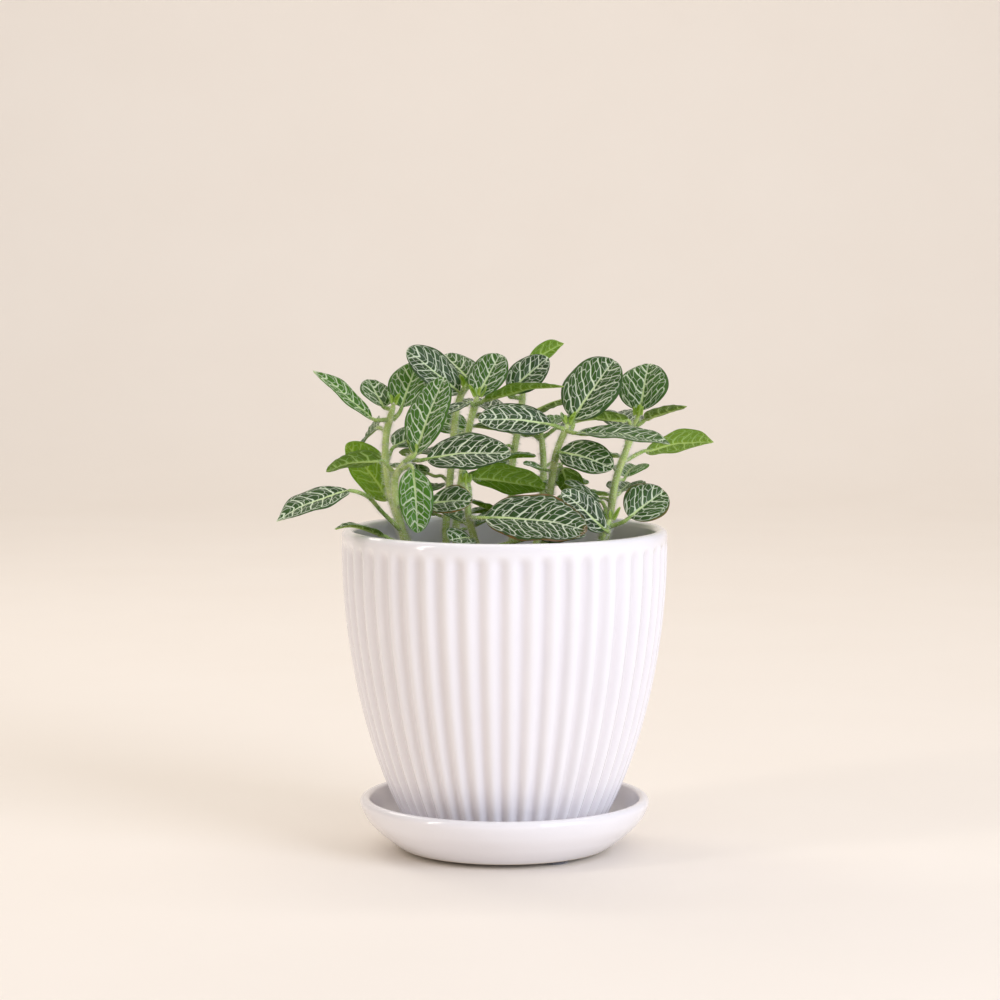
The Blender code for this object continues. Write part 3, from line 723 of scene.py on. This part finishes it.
def leaf_side(name, deep, fresh, lit, vein, lit_vein, gloss, sunk, letting):
    """One side of the blades: its greens, its veins, and the light that it lets through."""
    made, tree, shader, out = finish_named(name)
    net, midrib, reach, (along, tone, scorch) = vein_net(tree)
    patch = times(tree, fade(tree, speckle(tree, 120.0, 4.0), 0.3, 0.72), 0.14)
    green = mixed(tree, scaled(tree, tone, 0.8, patch), deep, fresh)
    near_base = times(tree, midrib, sums(tree, "SUBTRACT", 1.0, along))
    colour = mixed(tree, net, green, mixed(tree, near_base, vein, lit_vein))
    margin = fade(tree, reach, 0.955, 0.995)
    colour = mixed(tree, times(tree, margin, 0.65), colour, tint(66, 78, 34))
    far = sums(tree, "MAXIMUM", reach, scaled(tree, along, 1.6, -0.62))
    far = sums(tree, "ADD", far, -0.11)
    ragged = scaled(tree, speckle(tree, 420.0, 4.0), 0.22, far)
    burnt = times(tree, fade(tree, ragged, 0.9, 0.99), scorch)
    colour = mixed(tree, burnt, colour, tint(140, 84, 40))
    rough = speckle(tree, 2200.0, 3.0, 0.7)
    feed(tree, shader, {"Base Color": colour, "Roughness": fade(tree, rough, 0.2, 0.8, gloss, gloss + 0.16),
                        "Sheen Weight": 0.12, "Sheen Roughness": 0.4})
    height = scaled(tree, net, sunk, times(tree, rough, 0.35))
    embossed(tree, shader, 0.8, 0.0005, height)
    through = step(tree, "ShaderNodeBsdfTranslucent", {"Color": mixed(tree, net, lit, lit_vein)})
    thin = scaled(tree, tone, 0.3, letting)
    both = step(tree, "ShaderNodeMixShader", {0: thin, 1: shader.outputs[0], 2: through.outputs[0]})
    feed(tree, out, {"Surface": both.outputs[0]})
    return made


upper_finish = leaf_side("leaf_upper", tint(15, 43, 14), tint(82, 138, 32), tint(132, 200, 36),
                         tint(234, 246, 216), tint(214, 238, 160), 0.33, -0.8, 0.2)
under_finish = leaf_side("leaf_underside", tint(86, 114, 44), tint(150, 172, 68), tint(192, 218, 74),
                         tint(184, 206, 128), tint(222, 240, 150), 0.5, 0.5, 0.4)
stalk_finish = plant_green("stalk_green", tint(118, 150, 64), tint(168, 190, 108), 0.2)


def blade_stations(node):
    """The blade's base, its sections (share, middle, left, right, over) and its tip, and its stalk's line."""
    rings = blade_root(node)
    stalk = [middle_of(ring) for ring in rings[:4]]
    tip = rings[-1][0]
    sections = []
    for share, ring in zip(STATIONS, rings[4:-1]):
        first = max(range(6), key=lambda i: (ring[i] - ring[(i + 2) % 6]).length)
        one, other = ring[first], ring[(first + 2) % 6]
        under, top = ring[(first + 1) % 6], ring[(first + 4) % 6]
        over = (top - under).normalized()
        side = (tip - stalk[-1]).cross(over)
        left, right = (one, other) if (other - one).dot(side) > 0 else (other, one)
        sections.append((share, (top + under) / 2, left, right, over))
    return stalk, sections, tip


def fitted(shares, points, degree, wanted):
    """Smooth points at the wanted shares, from a curve fitted to the given ones."""
    points = np.array([list(p) for p in points])
    return np.stack([np.polyval(np.polyfit(shares, points[:, k], degree), wanted) for k in range(3)], 1)


def station_width(share):
    """How wide the frame's leaves are at a share of their length, 1 at the widest."""
    return sin(pi * share ** 0.9) ** 0.6


def fullness(share, pointed):
    """Half of the width, 1 at the widest: an oval that is blunt at its tip, or drawn out to a point."""
    along = np.clip(share, 0, 1) ** 0.93
    narrow = 0.64 + (0.75 * pointed - 0.15) * np.clip((along - 0.4) / 0.5, 0, 1)
    return (4 * along * (1 - along)) ** narrow


def make_blade(name, stalk, sections, tip, seed, tone, scorch=0.0, pointed=0.25, fine=1.0):
    """A closed, thin blade on its sections, with its veins' courses kept in its points."""
    dice = random.Random(seed)
    base = stalk[-1]
    shares = [s[0] for s in sections]
    length = (tip - base).length / MM
    wide = [(s[3] - s[2]).length / 2 for s in sections]
    half = float(np.median([w / station_width(s[0]) for w, s in zip(wide, sections)])) / MM
    rows = max(14, int(length * 2.1 * fine))
    wings = max(5, int(half * 2.3 * fine))
    even = np.linspace(0, 1, rows + 1)
    u = 0.25 * even + 0.75 * (0.5 - 0.5 * np.cos(np.pi * even))
    v = np.sin(np.linspace(-1, 1, 2 * wings + 1) * pi / 2 * 0.8) / sin(pi / 2 * 0.8)
    middle = fitted([0, *shares, 1], [base, *[s[1] for s in sections], tip], 3, u)
    spread = [(s[3] - s[2]) / (2 * w) for s, w in zip(sections, wide)]
    lifted = [((s[2] + s[3]) / 2 - s[1]) / w for s, w in zip(sections, wide)]
    side = fitted(shares, spread, 2, u)[:, None, :]
    fold = fitted(shares, lifted, 2, u)[:, None, :]
    over = fitted(shares, [s[4] for s in sections], 2, u)
    over = (over / np.linalg.norm(over, axis=1)[:, None])[:, None, :]

    along = u[:, None] * length
    width = (half * fullness(u, pointed))[:, None]
    reach = np.abs(v)[None, :] * np.ones_like(along)
    across = v[None, :] * width
    phases = [dice.uniform(0, 6.28) for _ in range(8)]
    wobble = (0.1 * np.sin(0.4 * along + 0.35 * across + phases[0])
              + 0.05 * np.sin(0.9 * along - 0.6 * across + phases[1])
              + 0.03 * np.sin(1.7 * across + 0.6 * along + phases[2]))
    run = (along - 0.8 * np.abs(across) - 0.035 * across ** 2) / VEIN_SPACING
    run = run + wobble * np.minimum(1, np.abs(across)) + 0.42 * np.clip(across / 0.8, 0, 1) + phases[3]

    bent = np.sqrt(v ** 2 + 0.02) - sqrt(0.02)
    puff = 0.5 - 0.5 * np.cos(2 * np.pi * run)
    zone = np.clip(reach / 0.15, 0, 1) * np.clip((1 - reach) / 0.2, 0, 1) * np.clip(width / 3, 0, 1)
    wave = 0.055 * width * reach ** 3 * np.sin(along * 0.42 + np.sign(across) * phases[4] + phases[5])
    wave = wave + 0.03 * width * reach ** 2 * np.sin(along * 0.21 + phases[6])
    curl = 0.26 * width * reach * (1 - reach) - 0.07 * width * reach ** 4
    sway = 0.25 * np.sin(along * 0.3 + phases[7]) * (u * (1 - u))[:, None] * 4
    rise = 0.34 * puff * zone + wave + curl + sway
    rise = rise - 0.28 * np.exp(-(across / 0.5) ** 2) * (1 - u)[:, None] * np.clip(u / 0.05, 0, 1)[:, None]
    top = middle[:, None, :] + MM * (width[..., None] * (v[None, :, None] * side + bent[None, :, None] * fold)
                                     + rise[..., None] * over)
    ends = np.clip(np.minimum(u / 0.04, (1 - u) / 0.04), 0, 1)[:, None]
    thick = 0.4 * np.sqrt(np.clip(1 - reach ** 6, 0, 1)) * ends
    rib = 0.5 * np.exp(-(across / 0.45) ** 2) * (1 - 0.75 * u)[:, None] * ends
    rib = rib + 0.12 * (1 - puff) * zone
    low = top - MM * (thick + rib)[..., None] * over

    columns = len(v)
    number = np.arange((rows + 1) * columns).reshape(rows + 1, columns)
    under = number + number.size
    for grid in (number, under):
        grid[0, :] = number[0, 0]
        grid[-1, :] = number[-1, 0]
    under[:, 0] = number[:, 0]
    under[:, -1] = number[:, -1]
    points = np.concatenate([top.reshape(-1, 3), low.reshape(-1, 3)])
    courses = np.stack([run, across, reach], 2).reshape(-1, 3)
    share = u[:, None] + 0 * reach
    own = np.stack([share, np.full_like(reach, tone), np.full_like(reach, scorch)], 2).reshape(-1, 3)
    flat = np.stack([share, 0.5 + across / (2 * half)], 2).reshape(-1, 2)
    faces, groups = [], []
    for grid, group in ((number, 0), (under, 1)):
        for k in range(rows):
            for j in range(columns - 1):
                corners = [grid[k, j], grid[k, j + 1], grid[k + 1, j + 1], grid[k + 1, j]]
                corners = [int(c) for i, c in enumerate(corners) if c != corners[i - 1]]
                if len(corners) < 3:
                    continue
                faces.append(corners[::-1] if group == 0 else corners)
                groups.append(group)
    used, packed = np.unique(np.concatenate([np.array(f) for f in faces]), return_inverse=True)
    starts = np.cumsum([0] + [len(f) for f in faces])
    faces = [packed[a:b].tolist() for a, b in zip(starts, starts[1:])]
    mesh = bpy.data.meshes.new(name)
    mesh.from_pydata(points[used].tolist(), [], faces)
    mesh.polygons.foreach_set("material_index", groups)
    again = np.concatenate([np.arange(number.size), np.arange(number.size)])[used]
    mesh.attributes.new("veins", "FLOAT_VECTOR", "POINT").data.foreach_set("vector", courses[again].ravel())
    mesh.attributes.new("blade", "FLOAT_VECTOR", "POINT").data.foreach_set("vector", own[again].ravel())
    laid = mesh.uv_layers.new(name="leaf")
    corner = np.zeros(len(mesh.loops), np.int32)
    mesh.loops.foreach_get("vertex_index", corner)
    laid.data.foreach_set("uv", flat[again][corner].ravel())
    for finish in (upper_finish, under_finish, stalk_finish, hair_finish):
        mesh.materials.append(finish)
    form = bmesh.new()
    form.from_mesh(mesh)
    bmesh.ops.recalc_face_normals(form, faces=form.faces)
    form.to_mesh(mesh)
    form.free()
    mesh.shade_smooth()
    blade = added(name, mesh)
    ridge = [Vector(middle[k]) - Vector(over[k, 0]) * 0.42 * MM for k in range(rows + 1) if 0.02 < u[k] < 0.2]
    return blade, ridge


def make_stalk(name, stalk, ridge, radius, seed):
    """A hairy stalk from inside the stem to where it runs out under the blade."""
    inward = (stalk[0] - stalk[1]).normalized() * 1.5 * MM
    line = [stalk[0] + inward, *stalk, *ridge[::2]]
    radii = [radius * 1.25, radius * 1.15, *[radius] * (len(stalk) - 2), radius * 0.85,
             *np.linspace(radius * 0.75, radius * 0.3, len(ridge[::2]))]
    length = sum((b - a).length for a, b in zip(line, line[1:]))
    line, radii = evened(line, radii, max(8, int(length / (0.8 * MM))))
    form = bmesh.new()
    tube(form, line, radii, 10, 2)
    bmesh.ops.recalc_face_normals(form, faces=form.faces)
    made = piece_from(name + "_stalk", form, upper_finish)
    for finish in (under_finish, stalk_finish, hair_finish):
        made.data.materials.append(finish)
    grown(made, plant_hairs, density=2.4e6, length=1.2 * MM, width=0.065 * MM, slant=0.6, seed=seed)
    made.data.shade_smooth()
    return made


def joined(*pieces):
    with bpy.context.temp_override(active_object=pieces[0], object=pieces[0],
                                   selected_editable_objects=list(pieces), selected_objects=list(pieces)):
        bpy.ops.object.join()
    return pieces[0]


# Leaves made a paler green: partly younger leaves, partly painted light on the leaves that the light falls
# on.
pale_and_lit_leaves = dict(left_front_upright=0.5, left_front_hanging=0.8, left_shade=1.0, front_back=0.75,
                   left_outer=0.5, middle_right=0.4, back_top=0.7, right_upright=0.2, left_inner=0.5,
                   right_far=0.6, middle_upright=0.3, right_front_upright=0.12, right_inner=0.3)
scorched_leaves = dict(front_right=0.8, left_front_low=1.0, right_low_right=0.5)
lance_leaves = dict(left_outer=0.8, right_far=1.0, back_top=1.0, left_front_far=1.0, middle_right=0.7,
                    right_outer=0.8, left_front_rim=1.0, right_front_right=0.5)
stalk_radius = 0.75 * MM
for number, name in enumerate(leaf_names):
    where = name.removeprefix("leaf_")
    tone = pale_and_lit_leaves.get(where, 0.02 + 0.09 * (number % 3))
    pointed = lance_leaves.get(where, 0.03 + 0.06 * (number % 4))
    stalk, sections, tip = blade_stations(name)
    blade, ridge = make_blade(name + "_veined", stalk, sections, tip, 100 + number, tone,
                              scorched_leaves.get(where, 0.0), pointed)
    stem_stalk = make_stalk(name, stalk, ridge, stalk_radius, number)
    put_in_place(joined(blade, stem_stalk), "veined_leaf", name)


# ---------------------------------------------------------------- inner leaves
# Smaller leaves on the older, lower joints of the stems, where the crown shades them. They are the
# same as the outer ones, but thinner, flatter and a fresher green.

def pointing(heading, rise):
    heading, rise = radians(heading), radians(rise)
    return Vector((cos(rise) * cos(heading), cos(rise) * sin(heading), sin(rise)))


def drawn_blade(base, heading, rise, length, width, roll, droop, fold=14):
    """Sections and tip of an arched blade with its own heading, rise, roll and droop, in degrees."""
    chord, upright = pointing(heading, rise), pointing(heading, rise + 90)
    arch = length * tan(radians(droop) / 4) / 2
    level = pointing(heading - 90, 0)
    roll, fold = radians(roll), radians(fold)
    sections = []
    for share in STATIONS:
        here = base + chord * length * share + upright * arch * 4 * share * (1 - share)
        plain = level.cross(pointing(heading, rise + droop * (0.5 - share)))
        side = level * cos(roll) + plain * sin(roll)
        over = plain * cos(roll) - level * sin(roll)
        half = width / 2 * station_width(share)
        out, up = half * cos(fold) * side, half * sin(fold) * over
        sections.append((share, here, here + up - out, here + up + out, over))
    return sections, base + chord * length


def place_on_stem(name, height):
    """The point of a stem at a height above the soil's edge."""
    line, _ = stem_lines["stem_" + name]
    wanted = soil_edge + height * MM
    for low, high in zip(line, line[1:]):
        if low.z <= wanted <= high.z:
            return low.lerp(high, (wanted - low.z) / (high.z - low.z))
    return line[-1]


inner_droop = 20
inner_stalk = 0.6 * MM


def grown_leaf(name, stem, node, base, heading, rise, length, width, roll, tone, seed):
    """A leaf with its stalk, from a height on a stem to a base given in mm above the soil's edge."""
    joint = place_on_stem(stem, node)
    base = Vector((base[0] * MM, base[1] * MM, soil_edge + base[2] * MM))
    arriving = pointing(heading, rise + inner_droop / 2)
    reach = (base - joint).length
    ahead = joint + (base - joint) * 0.35 + Vector((0, 0, 0.12 * reach))
    stalk = [joint.lerp(ahead, 0.35), ahead, base - arriving * reach * 0.3, base]
    sections, tip = drawn_blade(base, heading, rise, length * MM, width * MM, roll, inner_droop)
    blade, ridge = make_blade(name, stalk, sections, tip, seed, tone, 0.0, 0.08, 0.8)
    return joined(blade, make_stalk(name, stalk, ridge, inner_stalk, seed))


# Each row: stem, height on it, blade's base, heading, rise, length, width and roll, in mm and degrees.
inner_leaves = (
    ("middle", 20, (-22, 0, 22), 180, 4, 18, 13, 0),
    ("middle", 34, (-10, 5, 36), 2, 8, 22, 15, 0),
    ("middle_back", 14, (-26, 23, 16), 140, 3, 20, 14, 0),
    ("middle_back", 44, (-15, 26, 47), 150, 15, 16, 13, 30),
    ("back", 24, (9, 24, 26), -20, 5, 24, 16, 0),
    ("back", 40, (-2, 22, 42), 215, 5, 16, 12, 0),
    ("back", 30, (0, 33, 32), 120, 8, 22, 14, 0),
    ("right_front", 16, (19, -5, 18), 60, 0, 20, 14, 0),
    ("right_front", 16, (10, -14, 18), 215, 2, 19, 12, 0),
    ("right_front", 34, (14, -14, 36), 200, 15, 8, 6, 20),
    ("far_back", 18, (20, 39, 20), 20, 3, 22, 14, 0),
    ("far_back", 12, (7, 38, 14), 188, 3, 22, 14, 0),
    ("front", 14, (-15, -19, 17), 130, 12, 17, 13, 0),
    ("middle", 10, (-12, 8, 13), 25, 16, 22, 15, 0),
    ("right_front", 26, (11, -4, 29), 150, 8, 17, 12, 0),
    ("back", 14, (-3, 24, 17), 205, 20, 13, 10, 0),
    ("right", 22, (32, 6, 24), 140, 4, 12, 9, 0),
    ("far_back", 32, (24, 44, 34), 10, 5, 22, 15, 0),
    ("far_back", 42, (5, 46, 45), 175, 8, 18, 13, 0),
    ("back", 46, (14, 33, 48), 50, 10, 18, 13, 0),
    ("middle_back", 28, (-29, 27, 31), 145, 5, 20, 14, 0),
    ("left", 20, (-34, 14, 23), 60, 10, 20, 14, 0),
    ("right", 28, (45, 11, 31), 75, 8, 20, 14, 0),
)
for number, row in enumerate(inner_leaves, start=1):
    leaf = grown_leaf(f"inner_leaf_{number}", *row, 0.3 + 0.15 * (number % 3), 300 + number)
    put_in_place(leaf, "veined_leaf")


# ---------------------------------------------------------------- buds
# At the tip of each stem, two pairs of leaves that are still unfolding, each pair square to the last.
# They are bright green, and their veins are already white.

for number, name in enumerate(stem_names):
    line, _ = stem_lines[name]
    tip, way = line[-1], (line[-1] - line[-2]).normalized()
    turn = 37 * number + 20
    pairs = ((turn, 58, 5.2, 2.9), (turn + 180, 55, 4.8, 2.7),
             (turn + 90, 74, 3.2, 1.7), (turn + 270, 72, 3.0, 1.6))
    bud = []
    for k, (heading, rise, length, width) in enumerate(pairs):
        base = tip + pointing(heading, 20) * 0.7 * MM + way * (0.3 + 0.35 * (k // 2)) * MM
        stalk = [tip - way * 0.6 * MM, tip - way * 0.3 * MM, tip, base]
        sections, point = drawn_blade(base, heading, rise, length * MM, width * MM, 0, -30, 28)
        seed = 500 + 10 * number + k
        blade, _ = make_blade(f"{name}_bud_{k}", stalk, sections, point, seed, 0.9, 0.0, 0.3, 2.0)
        bud.append(blade)
    opened = joined(*bud)
    opened.name = f"{name}_bud"
    put_in_place(opened, "veined_leaf")


# ---------------------------------------------------------------- floor and light
# A plain pale floor that curves up behind, a big soft light from the front right, and weaker ones.

floor_finish, tree, shader, _ = finish_named("pale_floor")
paint = mixed(tree, speckle(tree, 9.0), tint(242, 235, 226), tint(245, 239, 231))
feed(tree, shader, {"Base Color": paint, "Roughness": 0.75})
form = bmesh.new()
flat_end, bend = 1.4, 0.6
sweep = [(-2.2, 0.0), (flat_end, 0.0)]
for turn in range(9, 91, 9):
    angle = radians(turn)
    sweep.append((flat_end + bend * sin(angle), bend - bend * cos(angle)))
sweep.append((flat_end + bend, 3.0))
left = [form.verts.new((-3.0, y, z)) for y, z in sweep]
right = [form.verts.new((3.0, y, z)) for y, z in sweep]
for i in range(len(sweep) - 1):
    form.faces.new((left[i], right[i], right[i + 1], left[i + 1]))
floor = piece_from("pale_floor", form, floor_finish)


def soft_light(name, place, aim, size, power, colour):
    data = bpy.data.lights.new(name, "AREA")
    data.shape = "RECTANGLE"
    data.size, data.size_y = size
    data.energy = power
    data.color = tint(*colour)[:3]
    light = added(name, data)
    light.location = place
    light.rotation_euler = (Vector(aim) - Vector(place)).to_track_quat("-Z", "Y").to_euler()


soft_light("window", (0.93, -0.87, 0.5), (0, 0, 0.1), (0.7, 0.7), 11.8, (232, 239, 255))
soft_light("overhead", (0.1, 0.0, 1.3), (0, 0, 0.12), (1.2, 1.2), 3.8, (255, 250, 244))
soft_light("back_left", (-0.55, 0.6, 0.85), (0.02, 0, 0.13), (0.35, 0.35), 1.3, (255, 249, 240))
soft_light("left_glint", (-0.75, -0.45, 0.4), (0, 0, 0.1), (0.08, 0.7), 1.9, (255, 246, 238))
soft_light("wall_wash", (0, 0.75, 1.9), (0, 2.0, 0.7), (2.5, 0.5), 14.6, (255, 250, 246))
world = bpy.data.worlds.new("pale_room")
scene.world = world
world.use_nodes = True
feed(world.node_tree, world.node_tree.nodes["Background"],
     {"Color": tint(250, 241, 235), "Strength": 0.45})
